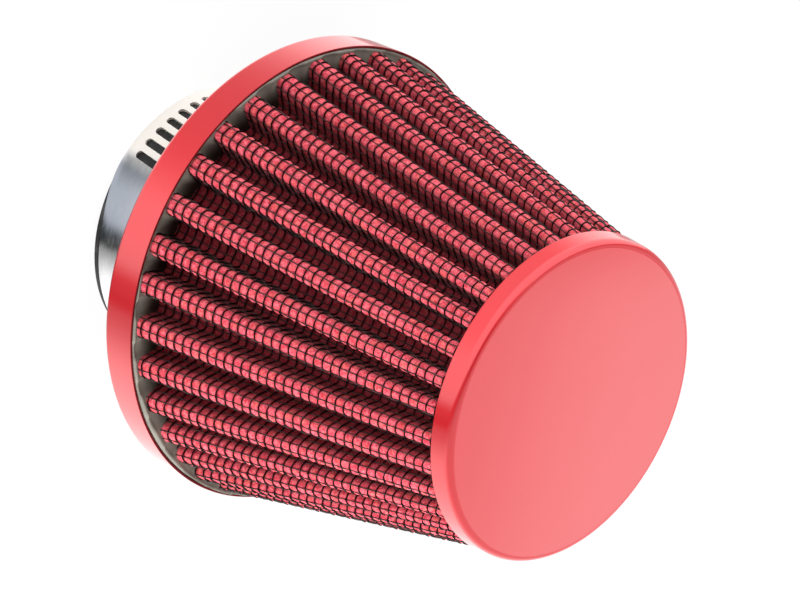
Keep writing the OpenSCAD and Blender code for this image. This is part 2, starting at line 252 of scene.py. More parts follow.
# %% Anodised aluminium
def anodised(tree, place):
    cloud = noise(tree, place, 14, 3)
    grain = noise(tree, place, 0.12, 3)
    x, y, z = tree.parts(place)
    # Painted shade: a thin dark line along the lip, where the coat is also thinned.
    below_lip = tree.ramp(z, lip_z - 0.22 * MM, lip_z - 0.06 * MM)
    lip_painted_shade = below_lip * tree.ramp(z, lip_z, lip_z + 0.1 * MM, 1.0, 0.0)
    colour = tree.colours(cloud, (0.91, 0.028, 0.041, 1), (0.95, 0.036, 0.051, 1))
    colour = tree.colours(lip_painted_shade * 0.8, colour, (0.16, 0.004, 0.008, 1))
    return tree.add("ShaderNodeBsdfPrincipled", None, {
        "Base Color": colour, "Metallic": 1.0, "Roughness": 0.48 + 0.08 * grain,
        "Coat Weight": 1 - lip_painted_shade * 0.8, "Coat Roughness": 0.09, "Coat IOR": 1.75,
        "Normal": bump(tree, grain, 0.002)})


red_anodised = finish("red_anodised", anodised)

# %% [markdown]
# The cotton is gauze in a few layers, soaked with red oil. Each window of the wire cloth lets it
# puff out. Shade is painted into its colour: darker in the grooves beside the wires and down in the
# folds. The two attributes that the folding rule writes, puff and depth, tell the finish where it is.

# %% Oiled cotton
def oiled_cotton(tree, place):
    puff = tree.add("ShaderNodeAttribute", {"attribute_name": "puff"}, None, "Fac")
    depth = tree.add("ShaderNodeAttribute", {"attribute_name": "depth"}, None, "Fac")
    threads = noise(tree, place, 0.2, 3)
    patches = noise(tree, place, 0.7, 2)
    hue = tree.ramp(noise(tree, place, 1.6, 2), 0.45, 0.68)
    mottle = tree.ramp(threads * 0.6 + patches * 0.4, 0.37, 0.63)
    pale = tree.colours(hue, (0.64, 0.130, 0.162, 1), (0.62, 0.130, 0.120, 1))
    cloth = tree.colours(mottle, (0.40, 0.020, 0.038, 1), pale)
    # Painted shade: the colour darkens in the grooves beside the wires and deep down in the folds.
    shade = tree.ramp(puff, 0.0, 0.55, 0.3, 1.0) * tree.ramp(depth, 0.04, 0.6, 1.0, 0.30)
    colour = tree.colours(shade, (0.085, 0.001, 0.004, 1), cloth)
    return tree.add("ShaderNodeBsdfPrincipled", None, {
        "Base Color": colour, "Roughness": 0.9, "Specular IOR Level": 0.06, "Sheen Weight": 0.05,
        "Sheen Roughness": 0.4, "Normal": bump(tree, threads, 0.12)})


red_cotton = finish("red_cotton", oiled_cotton)

# %% Coated wire
def coated_wire(tree, place):
    worn = tree.ramp(noise(tree, place, 1.3, 2), 0.55, 0.72)
    colour = tree.colours(worn, (0.008, 0.002, 0.003, 1), (0.022, 0.008, 0.010, 1))
    return tree.add("ShaderNodeBsdfPrincipled", None, {
        "Base Color": colour, "Roughness": 0.42, "Specular IOR Level": 0.06,
        "Normal": bump(tree, noise(tree, place, 0.1, 2), 0.01)})


black_wire = finish("black_wire", coated_wire)


def thin_coated_wire(tree, place):
    worn = noise(tree, place, 0.8, 2)
    colour = tree.colours(worn, (0.008, 0.003, 0.003, 1), (0.050, 0.034, 0.032, 1))
    return tree.add("ShaderNodeBsdfPrincipled", None, {
        "Base Color": colour, "Roughness": 0.24, "Specular IOR Level": 0.3,
        "Normal": bump(tree, noise(tree, place, 0.1, 2), 0.005)})


grey_wire = finish("grey_wire", thin_coated_wire)

# %% Polished stainless strip
def polished_steel(tree, place, painted_highlight=None):
    lines = noise(tree, place, 0.12, 3, (0.03, 0.03, 1))
    scuffs = tree.ramp(noise(tree, place, 0.3, 3, (0.13, 0.13, 1)), 0.35, 0.7)
    smudge = noise(tree, place, 5, 3)
    colour = tree.colours(smudge, (0.66, 0.67, 0.69, 1), (0.76, 0.75, 0.73, 1))
    colour = tree.colours(scuffs * 0.4, colour, (0.86, 0.86, 0.86, 1))
    rough = 0.09 + 0.08 * lines + 0.10 * scuffs
    # Where a highlight is painted, the steel turns pale and rough.
    if painted_highlight is not None:
        colour = tree.colours(painted_highlight, colour, (0.94, 0.90, 0.85, 1))
        rough = rough + 0.5 * painted_highlight
    return tree.add("ShaderNodeBsdfPrincipled", None, {
        "Base Color": colour, "Metallic": 1.0, "Roughness": rough,
        "Normal": bump(tree, lines, 0.002)})


def strip_steel(tree, place):
    """The strip's polished steel, with a painted highlight: paler and rougher on the side facing 71 degrees.
    """
    x, y, z = tree.parts(place)
    towards = (x * math.cos(painted_highlight_way) + y * math.sin(painted_highlight_way)) / (x * x + y * y) ** 0.5
    return polished_steel(tree, place, tree.ramp(towards, 0.65, 0.73))


# The direction of the strip's painted highlight.
painted_highlight_way = math.radians(71)
steel = finish("steel", polished_steel)
band_steel = finish("band_steel", strip_steel)

# %% Rubber and potting
def neck_rubber(tree, place):
    grain = noise(tree, place, 0.25, 3)
    bloom = tree.ramp(noise(tree, place, 5, 3), 0.45, 0.8)
    colour = tree.colours(bloom, (0.012, 0.011, 0.011, 1), (0.045, 0.044, 0.045, 1))
    return tree.add("ShaderNodeBsdfPrincipled", None, {
        "Base Color": colour, "Roughness": 0.5 + 0.12 * grain, "Specular IOR Level": 0.35,
        "Normal": bump(tree, grain, 0.02)})


def cast_potting(tree, place):
    cloud = noise(tree, place, 4, 3)
    grain = noise(tree, place, 0.4, 2)
    x, y, z = tree.parts(place)
    # Painted shade: the compound turns nearly black towards the pleats and stays lit near the lip.
    edge = tree.ramp((x * x + y * y) ** 0.5, 41.5 * MM, 46.2 * MM)
    colour = tree.colours(cloud, (0.135, 0.123, 0.102, 1), (0.225, 0.208, 0.175, 1))
    colour = tree.colours(edge, (0.022, 0.014, 0.010, 1), colour)
    return tree.add("ShaderNodeBsdfPrincipled", None, {
        "Base Color": colour, "Roughness": 0.30 + 0.2 * grain, "Specular IOR Level": 0.3,
        "Normal": bump(tree, cloud * 0.8 + grain * 0.2, 0.25)})


rubber = finish("rubber", neck_rubber)
potting = finish("potting", cast_potting)
print("finishes:", ", ".join(m.name for m in (
    red_anodised, red_cotton, black_wire, grey_wire, steel, band_steel, rubber, potting)))

# %% [markdown]
# ## Lines with turned corners
# Pressed sheet and moulded rubber have no sharp corners. Every section below is drawn as a few
# corners with a radius each, and one function turns the corners. It also sets a point close to each
# end of an arc, which keeps the shading of a flat face flat right up to its edge.

# %% Rounded lines
def rounded(corners, radii, closed=False, steps=8, hold=0.12):
    """The line through corners, in millimetres, each turned on its own radius."""
    line = []
    count = len(corners)
    for i, radius in enumerate(radii):
        corner = Vector(corners[i])
        if radius == 0 or (not closed and i in (0, count - 1)):
            line.append(corner)
            continue
        back = (Vector(corners[i - 1]) - corner).normalized()
        ahead = (Vector(corners[(i + 1) % count]) - corner).normalized()
        half = back.angle(ahead) / 2
        reach = radius / math.tan(half)
        centre = corner + (back + ahead).normalized() * radius / math.sin(half)
        arm = corner + back * reach - centre
        turn = math.pi - 2 * half
        if arm.x * (corner - centre).y - arm.y * (corner - centre).x < 0:
            turn = -turn
        line.append(corner + back * (reach + hold))
        for k in range(steps + 1):
            a = turn * k / steps
            line.append(centre + Vector((arm.x * math.cos(a) - arm.y * math.sin(a),
                                         arm.x * math.sin(a) + arm.y * math.cos(a))))
        line.append(corner + ahead * (reach + hold))
    return line


def spun(name, line, material, steps=240):
    """A closed section, listed with its outer side going up, spun round the axis."""
    section = len(line)
    vertices = []
    for k in range(steps):
        a = 2 * math.pi * k / steps
        vertices += [(p.x * math.cos(a) * MM, p.x * math.sin(a) * MM, p.y * MM) for p in line]
    faces = []
    for k in range(steps):
        here, there = k * section, (k + 1) % steps * section
        for i in range(section):
            j = (i + 1) % section
            faces.append((here + i, there + i, there + j, here + j))
    mesh = bpy.data.meshes.new(name)
    mesh.from_pydata(vertices, [], faces)
    return finished(name, mesh, material)


def finished(name, mesh, material):
    """Merges doubles, points the faces outwards, shades smoothly and makes the object."""
    bm = bmesh.new()
    bm.from_mesh(mesh)
    bmesh.ops.remove_doubles(bm, verts=bm.verts, dist=1e-7)
    bmesh.ops.dissolve_degenerate(bm, edges=bm.edges, dist=1e-8)
    bmesh.ops.recalc_face_normals(bm, faces=bm.faces)
    bm.to_mesh(mesh)
    bm.free()
    mesh.shade_smooth()
    mesh.materials.clear()
    mesh.materials.append(material)
    piece = bpy.data.objects.new(name, mesh)
    scene.collection.objects.link(piece)
    print(f"{name}: {sum(len(p.vertices) - 2 for p in mesh.polygons)} triangles")
    return piece


def stands_for(piece, node, body):
    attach(piece, body)
    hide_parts(node)
    return piece


# %% [markdown]
# ## Ring and cap
# Both are drawn cups of thin aluminium sheet. The ring's back edge is rolled in over the rubber,
# and its front lip is cut off square with the edge just broken. The cap's face is crowned by a
# third of a millimetre and ends in a round of a millimetre and a half.

# %% Base ring
ring_section = rounded(
    [(43.7, 25.7), (47.2, 25.7), (47.5, 33.9), (47.05, 33.9), (46.45, 26.45), (43.7, 26.45)],
    [0.2, 1.2, 0.14, 0.14, 0.45, 0.2], closed=True)
ring = stands_for(spun("ring_drawn", ring_section, red_anodised), "base_ring", "filter")

# %% End cap
crown = 0.3
face = [(r, 106.5 - crown * (r / 32.5) ** 2) for r in range(28, -1, -4)]
cap_section = rounded(
    [(32.95, 101.5), (32.55, 106.5 - crown)] + face + [(0, 105.7), (31.75, 105.4), (32.15, 101.5)],
    [0.2, 1.45] + [0] * len(face) + [0, 0.8, 0.15], closed=True, steps=12)
cap = stands_for(spun("cap_drawn", cap_section, red_anodised), "end_cap", "filter")

# %% [markdown]
# ## Rubber neck
# The neck and the flange inside the ring are one moulding. A low bead at its open end keeps the
# clamp from slipping off, and the bore opens into the filter with a rounded inlet.

# %% Rubber neck
neck_section = rounded(
    [(24, 0), (27.55, 0), (27.55, 1.15), (27.2, 1.4), (27.2, 25.95), (43.6, 25.95), (43.6, 26.5),
     (46.35, 26.5), (46.35, 29.45), (24, 29.45)],
    [0.25, 0.4, 0.3, 0.15, 3.0, 0.1, 0.1, 0.5, 0.2, 4.0], closed=True)
neck = stands_for(spun("neck_moulded", neck_section, rubber, 150), "rubber_neck", "filter")

# %% [markdown]
# ## The folding rule
# The wall is one sheet of gauze between two sheets of wire cloth, folded into ridges and rolled into
# a cone. Modelling it as one rule keeps all three layers together: a point of the flat sheet, given
# by how many folds along it lies and how high, goes to its place on the folded cone, and can be
# lifted off the surface. The fold's shape is a drawn line at the ring and another at the cap.
# Cotton and wires then only differ in what they draw on the flat sheet.

# %% The fold's shape at both ends
def fold_line(name, width, crest, depth, crest_round, valley_round):
    """One fold from valley to valley as a line: x across the ridge, y outwards, in metres."""
    floor = crest - depth
    off = math.atan2(width / 2, floor)
    middle = math.hypot(width / 2, floor) * math.cos(half_pitch - off)
    edge = (middle * math.sin(half_pitch), middle * math.cos(half_pitch))
    corners = [(-edge[0], edge[1]), (-width / 2, floor), (-width / 2, crest),
               (width / 2, crest), (width / 2, floor), edge]
    line = rounded(corners, [0, valley_round, crest_round, crest_round, valley_round, 0], hold=0.01)
    curve = bpy.data.curves.new(name, "CURVE")
    curve.dimensions = "3D"
    spline = curve.splines.new("POLY")
    spline.points.add(len(line) - 1)
    for point, place in zip(spline.points, line):
        point.co = (place.x * MM, place.y * MM, 0, 1)
    guide = bpy.data.objects.new(name, curve)
    scene.collection.objects.link(guide)
    return guide


crest_ring, crest_cap, floor_ring, floor_cap = 46.3, 31.65, 40.25, 26.95
fold_at_ring = fold_line("fold_at_ring", 3.9, crest_ring, crest_ring - floor_ring, 1.3, 0.9)
fold_at_cap = fold_line("fold_at_cap", 2.7, crest_cap, crest_cap - floor_cap, 0.95, 0.6)

# %% The rule as a node group
fold_inputs = [
    ("Sheet", "Float", 0.0), ("Height", "Float", 0.0), ("Lift", "Float", 0.0),
    ("Ring fold", "Object", None), ("Cap fold", "Object", None), ("Folds", "Float", 34.0),
    ("First ridge", "Float", 0.0), ("Low", "Float", 0.0), ("High", "Float", 0.1),
    ("Twist", "Float", 0.0), ("Wander", "Float", 0.01), ("Seed", "Float", 0.0),
    ("Ring crowding", "Float", 0.0), ("Cap crowding", "Float", 0.0), ("Crowded side", "Float", 0.0)]
rule, given, result = geometry_tree("fold", fold_inputs, [("Position", "Vector"), ("Depth", "Float")])


def folded_line(which):
    shape = rule.add("GeometryNodeObjectInfo", None, {"Object": given[which]}, "Geometry")
    along = rule.maths("FRACT", given["Sheet"])
    node = rule.node("GeometryNodeSampleCurve", {"mode": "FACTOR"}, {"Curves": shape, "Factor": along})
    return rule.output(node, "Position"), rule.output(node, "Tangent")


def between(first, second, share):
    return first + (second - first) * share


def shift_of(index):
    """How far a ridge stands off its even place, as part of the largest shift."""
    round_index = rule.maths("WRAP", index, given["Folds"], 0.0)
    value = rule.add("ShaderNodeTexWhiteNoise", {"noise_dimensions": "1D"},
                     {"W": round_index + given["Seed"] * 57.0 + 0.5}, "Value")
    return value * 2 - 1


(ring_place, ring_way), (cap_place, cap_way) = folded_line("Ring fold"), folded_line("Cap fold")
height_vector = rule.vector(given["Height"], given["Height"], given["Height"])
place = between(ring_place, cap_place, height_vector)
way = rule.maths("NORMALIZE", between(ring_way, cap_way, height_vector))
way_x, way_y = rule.parts(way)[:2]
lifted = place + rule.vector(-way_y, way_x, 0.0) * rule.vector(given["Lift"], given["Lift"], 0.0)
across, outwards = rule.parts(lifted)[:2]

fold_index = rule.maths("FLOOR", given["Sheet"])
in_fold = given["Sheet"] - fold_index
side = rule.maths("SIGN", in_fold - 0.5)
own, next_one = shift_of(fold_index), shift_of(fold_index + side)
to_next = rule.ramp(abs(in_fold - 0.5), 0.34, 0.5, 0.0, 0.5)
even = given["First ridge"] + fold_index * (2 * math.pi) / given["Folds"]
crowding = between(given["Ring crowding"], given["Cap crowding"], given["Height"])
turn = (even + crowding * rule.maths("SINE", even - given["Crowded side"])
        + (given["Height"] - 0.5) * given["Twist"] + between(own, next_one, to_next) * given["Wander"])
cosine, sine = rule.maths("COSINE", turn), rule.maths("SINE", turn)
position = rule.vector(outwards * cosine - across * sine, outwards * sine + across * cosine,
                       between(given["Low"], given["High"], given["Height"]))
plain_out = rule.parts(place)[1]
crest_now = crest_ring * MM - given["Height"] * (crest_ring - crest_cap) * MM
depth_now = (crest_ring - floor_ring) * MM - given["Height"] * (
    crest_ring - floor_ring - crest_cap + floor_cap) * MM
fold_depth = (crest_now - plain_out) / depth_now
rule.tree.links.new(position.socket, result.inputs["Position"])
rule.tree.links.new(fold_depth.socket, result.inputs["Depth"])
print("fold rule:", len(rule.tree.nodes), "nodes")

# %% The cloth's sizes, and the values that all its layers share
sheet_low = lip_z - 1.6 * MM
sheet_high = skirt_z + 2.0 * MM
long_wires = 303
cell_height = 67.6 * MM / 35
cells_along = (sheet_high - sheet_low) / cell_height
cells_in_fold = long_wires / pleats
rows_phase = (lip_z - sheet_low) / cell_height - 0.35
shared = {
    "Ring fold": fold_at_ring, "Cap fold": fold_at_cap, "Folds": float(pleats),
    "First ridge": first_ridge, "Low": media_low.z, "High": media_high.z,
    "Twist": math.radians(1.9), "Wander": math.radians(0.6), "Seed": 3.0,
    "Ring crowding": math.radians(0.6), "Cap crowding": math.radians(2.3), "Crowded side": math.radians(130)}
rise = media_high.z - media_low.z
low_share = (sheet_low - media_low.z) / rise
high_share = (sheet_high - media_low.z) / rise
print(f"{cells_in_fold:.2f} windows in a fold, {cells_along:.1f} along the cone")

# %% [markdown]
# The drawn folds belong to the two ends of the cotton, and the sheet starts a little inside the
# potting, so the share of the height runs slightly past 0 and 1. The cotton is a fine grid whose
# points rise in every window of the cloth, more in some windows than in others. Its back is a
# coarser grid on the other side of the sheet.

# %% Cotton
own_inputs = [
    ("Start", "Float", 0.0), ("End", "Float", 1.0), ("Columns", "Int", 10), ("Rows", "Int", 10),
    ("Back columns", "Int", 10), ("Back rows", "Int", 10), ("Thickness", "Float", 0.0009),
    ("Windows in fold", "Float", 9.0), ("Windows along", "Float", 35.0), ("Phase", "Float", 0.0),
    ("Puff", "Float", 0.0004), ("Material", "Material", None)]
passed_on = [i for i in fold_inputs if i[0] not in ("Sheet", "Height", "Lift")]


def through_fold(tree, given, sheet, height, lift):
    values = {label: given[label] for label, kind, value in passed_on}
    values.update({"Sheet": sheet, "Height": height, "Lift": lift})
    node = tree.node("GeometryNodeGroup", {"node_tree": rule.tree}, values)
    return tree.output(node, "Position"), tree.output(node, "Depth")


def cotton_tree():
    tree, given, result = geometry_tree("cotton", own_inputs + passed_on, [("Geometry", "Geometry")])
    x, y = tree.parts(tree.add("GeometryNodeInputPosition"))[:2]
    sheet = given["Start"] + (x + 0.5) * (given["End"] - given["Start"])
    share = y + 0.5
    window_x = sheet * given["Windows in fold"]
    window_y = share * given["Windows along"] - given["Phase"]

    def window_puff():
        hump = [1 - abs(tree.maths("FRACT", w) * 2 - 1) ** 2.4 for w in (window_x, window_y)]
        cell = tree.vector(tree.maths("FLOOR", window_x), tree.maths("FLOOR", window_y), 0.0)
        luck = tree.add("ShaderNodeTexWhiteNoise", {"noise_dimensions": "2D"}, {"Vector": cell}, "Value")
        return hump[0] * hump[1] * (0.72 + 0.42 * luck)

    puff = window_puff()
    height = low_share + share * (high_share - low_share)
    layers = []
    for columns, rows, flip in (("Columns", "Rows", False), ("Back columns", "Back rows", True)):
        grid = tree.add("GeometryNodeMeshGrid", None, {
            "Size X": 1.0, "Size Y": 1.0, "Vertices X": given[columns], "Vertices Y": given[rows]}, "Mesh")
        lift = puff * given["Puff"]
        if flip:
            lift = -(given["Thickness"] + puff * given["Puff"] * 0.7)
        position, depth = through_fold(tree, given, sheet, height, lift)
        for label, value in (("puff", puff), ("depth", depth)):
            grid = tree.add("GeometryNodeStoreNamedAttribute", {"data_type": "FLOAT", "domain": "POINT"},
                            {"Geometry": grid, "Name": label, "Value": value})
        grid = tree.add("GeometryNodeSetPosition", None, {"Geometry": grid, "Position": position})
        if flip:
            grid = tree.add("GeometryNodeFlipFaces", None, {"Mesh": grid})
        layers.append(grid)
    join = tree.node("GeometryNodeJoinGeometry")
    for layer in reversed(layers):
        tree.tree.links.new(layer.socket, join.inputs[0])
    smooth = tree.add("GeometryNodeSetShadeSmooth", None, {"Geometry": tree.output(join, 0)})
    whole = tree.add("GeometryNodeRealizeInstances", None, {"Geometry": smooth})
    dressed = tree.add("GeometryNodeSetMaterial", None, {"Geometry": whole, "Material": given["Material"]})
    tree.tree.links.new(dressed.socket, result.inputs[0])
    return tree.tree


cotton_rule = cotton_tree()
finest = 3
cloth_values = dict(shared)
cloth_values.update({"Windows in fold": cells_in_fold, "Windows along": cells_along, "Phase": rows_phase})
cuts = [0, 9, 17, 26, 34]
for number, (start, end) in enumerate(zip(cuts, cuts[1:])):
    windows = (end - start) * cells_in_fold
    values = dict(cloth_values)
    values.update({
        "Start": float(start), "End": float(end), "Columns": round(windows * finest) + 1,
        "Rows": round(cells_along * 2) + 1, "Back columns": round(windows * 2) + 1,
        "Back rows": round(cells_along) + 1, "Thickness": cotton, "Puff": 0.27 * MM,
        "Material": red_cotton})
    stands_for(grow(f"cotton_{number + 1}", cotton_rule, values), "cotton_media", "filter")

# %% [markdown]
# ## Wire cloth
# The cloth is woven: each long wire passes over one round wire and under the next. Every wire is
# a straight line on the flat sheet, lifted and dropped by a wave as it crosses the others, then
# folded by the rule and given a section. There are hundreds of wires, so each has few sides and
# few points, and the inner cloth, which only shows through the bore, has fewest. The round wires
# are thicker and blacker than the long ones in the photograph.

# %% Wires
wire_inputs = [
    ("Wires", "Int", 3), ("First", "Vector", (0, 0, 0)), ("Step", "Vector", (0, 0, 0)),
    ("Reach", "Vector", (0, 1, 0)), ("Points", "Int", 10), ("Windows in fold", "Float", 9.0),
    ("Windows along", "Float", 35.0), ("Phase", "Float", 0.0), ("Base lift", "Float", 0.0),
    ("Wave", "Float", 0.0001), ("Stray", "Float", 0.0), ("Radius", "Float", 0.00018),
    ("Sides", "Int", 5), ("Material", "Material", None)]


def wire_tree():
    tree, given, result = geometry_tree("wires", wire_inputs + passed_on, [("Geometry", "Geometry")])
    line = tree.add("GeometryNodeCurvePrimitiveLine", None, {"Start": (0.0, 0.0, 0.0), "End": given["Reach"]})
    line = tree.add("GeometryNodeResampleCurve", None, {"Curve": line, "Count": given["Points"]})
    stations = tree.add("GeometryNodeMeshLine", {"mode": "OFFSET"}, {
        "Count": given["Wires"], "Start Location": given["First"], "Offset": given["Step"]})
    copies = tree.add("GeometryNodeInstanceOnPoints", None, {"Points": stations, "Instance": line})
    lines = tree.add("GeometryNodeRealizeInstances", None, {"Geometry": copies})
    x, y = tree.parts(tree.add("GeometryNodeInputPosition"))[:2]
    grain = tree.vector(x * 2.1, y * 24.0, given["Stray"] * 100.0)
    stray = tree.parts(tree.add("ShaderNodeTexNoise", None, {
        "Vector": grain, "Scale": 1.0, "Detail": 1.0}, "Color"))
    sheet = x + (stray[0] - 0.5) * given["Stray"]
    share = y + (stray[1] - 0.5) * given["Stray"] * (pleats / 120)
    weave = x * given["Windows in fold"] + y * given["Windows along"] - given["Phase"]
    lift = given["Base lift"] + given["Wave"] * tree.maths("COSINE", weave * math.pi)
    height = low_share + share * (high_share - low_share)
    position, depth = through_fold(tree, given, sheet, height, lift)
    lines = tree.add("GeometryNodeSetPosition", None, {"Geometry": lines, "Position": position})
    section = tree.add("GeometryNodeCurvePrimitiveCircle", {"mode": "RADIUS"},
                       {"Resolution": given["Sides"], "Radius": given["Radius"]})
    tube = tree.add("GeometryNodeCurveToMesh", None, {
        "Curve": lines, "Profile Curve": section, "Fill Caps": True})
    smooth = tree.add("GeometryNodeSetShadeSmooth", None, {"Geometry": tube})
    whole = tree.add("GeometryNodeRealizeInstances", None, {"Geometry": smooth})
    dressed = tree.add("GeometryNodeSetMaterial", None, {"Geometry": whole, "Material": given["Material"]})
    tree.tree.links.new(dressed.socket, result.inputs[0])
    return tree.tree


wire_rule = wire_tree()


def lay_wires(name, node, start, end, long_way, outside, material, radius):
    """Lays one half's wires, long or round, on the cotton's outside or inside."""
    values = dict(cloth_values)
    face = 0.20 * MM if outside else -cotton - 0.18 * MM
    wave = (0.11 if long_way else -0.11) * MM * (1 if outside else -1)
    detail = 1 if long_way and not outside else 2
    if long_way:
        first = math.ceil(start * cells_in_fold - 1e-6)
        count = math.ceil(end * cells_in_fold - 1e-6) - first
        values.update({"First": (first / cells_in_fold, 0.0, 0.0), "Step": (1 / cells_in_fold, 0.0, 0.0),
                       "Reach": (0.0, 1.0, 0.0), "Points": round(cells_along * detail) + 1})
    else:
        first = rows_phase - math.floor(rows_phase)
        count = math.floor(cells_along - first) + 1
        values.update({"First": (float(start), first / cells_along, 0.0),
                       "Step": (0.0, 1 / cells_along, 0.0), "Reach": (float(end - start), 0.0, 0.0),
                       "Points": round((end - start) * cells_in_fold * detail) + 1})
    values.update({"Wires": count, "Base lift": face, "Wave": wave, "Stray": 0.012, "Radius": radius * MM,
                   "Sides": 4 if outside else 3, "Material": material})
    return stands_for(grow(name, wire_rule, values), node, "filter")


for number, (start, end) in enumerate([(0, 17), (17, 34)]):
    lay_wires(f"long_wires_{number + 1}", "outer_mesh", start, end, True, True, grey_wire, 0.125)
    lay_wires(f"round_wires_{number + 1}", "outer_mesh", start, end, False, True, black_wire, 0.172)
    lay_wires(f"inner_long_wires_{number + 1}", "inner_mesh", start, end, True, False, black_wire, 0.16)
    lay_wires(f"inner_round_wires_{number + 1}", "inner_mesh", start, end, False, False, black_wire, 0.18)
for guide in (fold_at_ring, fold_at_cap):
    bpy.data.objects.remove(guide)

# %% [markdown]
# ## Potting
# The pleats end in a poured ring of compound. It was liquid, so it climbs a little up the folds, and
# its level wanders round the ring: in the photograph it stands low on the camera's side and high at
# the lower edge. The section is closed, and only its top follows the level.

# %% Base potting
def potting_level(angle, radius):
    """Height of the compound against the lip, in millimetres."""
    camera_side = math.cos(angle - math.radians(129)) * 0.5 + 0.5
    high_side = math.cos(angle - math.radians(199)) * 0.5 + 0.5
    level = -0.35 - 0.85 * camera_side ** 14 + 1.5 * high_side ** 22
    level += 0.12 * math.sin(5 * angle + 1) + 0.10 * math.sin(11 * angle + 2.3)
    fold = (angle - first_ridge) / (2 * half_pitch) % 1
    flank = 0.252 * 43 / radius
    gap = max(0.0, flank - abs(fold - 0.5)) * 2 * half_pitch * radius
    wall_gap = max(0.0, 46.95 - radius)
    climb = 0.55 * math.exp(-gap / 0.45) + 0.35 * math.exp(-wall_gap / 0.4)
    return level + climb


def cast_ring(name, inner, outer, bottom, material, steps=18 * pleats):
    radii = [inner, inner + 0.3] + [inner + 0.3 + (outer - inner - 0.3) * (k / 18) for k in range(1, 19)]
    section = [(inner, bottom), (outer - 0.35, bottom)] + [(r, None) for r in reversed(radii)]
    vertices = []
    for k in range(steps):
        a = 2 * math.pi * k / steps
        for r, z in section:
            if z is None:
                z = lip_z / MM + potting_level(a, r) - (0.25 if r == inner else 0)
            vertices.append((r * math.cos(a) * MM, r * math.sin(a) * MM, z * MM))
    count = len(section)
    faces = []
    for k in range(steps):
        here, there = k * count, (k + 1) % steps * count
        for i in range(count):
            j = (i + 1) % count
            faces.append((here + i, there + i, there + j, here + j))
    mesh = bpy.data.meshes.new(name)
    mesh.from_pydata(vertices, [], faces)
    return finished(name, mesh, material)


potting_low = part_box("base_potting")[0].z / MM
poured = cast_ring("potting_poured", 37.34, 46.95, potting_low, potting)
stands_for(poured, "base_potting", "filter")
cap_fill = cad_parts["cap_potting"]
cap_fill.data.materials.clear()
cap_fill.data.materials.append(potting)

# %% [markdown]
# ## Clamp strip
# The strip is punched flat and then bent round the neck, so it is made in the same order. One pitch
# of it with one slanted slot is a small mesh, a Geometry Nodes tree sets it out along a line, and a
# second step bends the flat strip along its course: from its tail, below the screw, once round
# the neck and under itself. In the photograph the strip sits a little crooked, so the course also
# shifts along the neck. Solidify gives it its thickness and Bevel its broken edges.

# %% The strip's course, as in the part's source
band_w, band_t, pitch = 12.7, 0.6, 3.175
layer = {"neck": 27.3, "raised": 27.9, "strap": 28.55, "tail": 27.95}
slots_ahead, slots_tail = 18, 8
band_z = 7.8
tail_angle = -((slots_tail + 1.5) * pitch + band_w / 2) / (layer["tail"] + band_t / 2)


def eased(angle, start, span, first, last):
    share = max(0.0, min(1.0, (math.degrees(angle) - start) / span))
    return first + (last - first) * (1 - math.cos(math.pi * share)) / 2


def strip_radius(angle):
    if math.degrees(angle) < -21:
        return eased(angle, -33, 12, layer["tail"], layer["strap"])
    if angle < math.pi:
        return eased(angle, 16, 12, layer["strap"], layer["neck"])
    return eased(angle, 338, 4, layer["neck"], layer["raised"])


course = []
course_end = math.radians(370)
for k in range(1200 + 1):
    a = tail_angle + (course_end - tail_angle) * k / 1200
    r = strip_radius(a) + band_t / 2
    course.append(Vector((r * math.cos(a), r * math.sin(a))))


def strip_shift(angle):
    """How far the strip sits from its even place along the neck, in millimetres."""
    if angle < math.radians(100):
        return eased(angle, 25, 40, 0, -1.4)
    if angle < math.radians(158):
        return eased(angle, 118, 38, -1.4, 0.45)
    return eased(angle, 165, 60, 0.45, 0)


run = [0.0]
for before, after in zip(course, course[1:]):
    run.append(run[-1] + (after - before).length)
screw_run = run[min(range(1201), key=lambda k: abs(tail_angle + (course_end - tail_angle) * k / 1200))]
print(f"strip {run[-1]:.0f} mm long")

course_curve = bpy.data.curves.new("course", "CURVE")
course_curve.dimensions = "3D"
course_spline = course_curve.splines.new("POLY")
course_spline.points.add(len(course) - 1)
for point, at in zip(course_spline.points, course):
    point.co = (at.x * MM, at.y * MM, strip_shift(math.atan2(at.y, at.x) % (2 * math.pi)) * MM, 1)
course_guide = bpy.data.objects.new("course", course_curve)
scene.collection.objects.link(course_guide)

# %% One pitch with its slot, and the strip's plain ends
slot_w, slot_len, slant = 1.7, 7.8, math.radians(6.6)
side_steps, edge_steps, turn_steps = 10, 2, 8
straight = (slot_len - slot_w) / 2
side_heights = [straight * (2 * k / side_steps - 1) for k in range(side_steps + 1)]
above = [straight + (band_w / 2 - straight) * (k + 1) / edge_steps for k in range(edge_steps)]
column = [-h for h in reversed(above)] + side_heights + above


def slot_cell():
    """One pitch of the strip, seen flat, from the slot's edge to the cell's."""
    hole, rim = [], []
    for h in side_heights:
        hole.append((slot_w / 2, h))
        rim.append((pitch / 2, h))
    top_steps = turn_steps - 2 * edge_steps
    across = [pitch / 2 - pitch * k / top_steps for k in range(top_steps + 1)]
    top = [(pitch / 2, h) for h in above] + [(x, band_w / 2) for x in across[1:-1]]
    top += [(-pitch / 2, h) for h in reversed(above)]
    for k, spot in enumerate(top):
        a = math.pi * (k + 1) / (len(top) + 1)
        hole.append((slot_w / 2 * math.cos(a), straight + slot_w / 2 * math.sin(a)))
        rim.append(spot)
    hole += [(-x, -y) for x, y in hole]
    rim += [(-x, -y) for x, y in rim]
    hole = [(x * math.cos(slant) + y * math.sin(slant), y * math.cos(slant) - x * math.sin(slant))
            for x, y in hole]
    bm = bmesh.new()
    rings = []
    for share in (0.0, 0.12, 0.55, 1.0):
        rings.append([bm.verts.new(((hx + (rx - hx) * share) * MM, (hy + (ry - hy) * share) * MM, 0))
                      for (hx, hy), (rx, ry) in zip(hole, rim)])
    count = len(hole)
    for inner, outer in zip(rings, rings[1:]):
        for k in range(count):
            bm.faces.new((inner[k], outer[k], outer[(k + 1) % count], inner[(k + 1) % count]))
    return bm


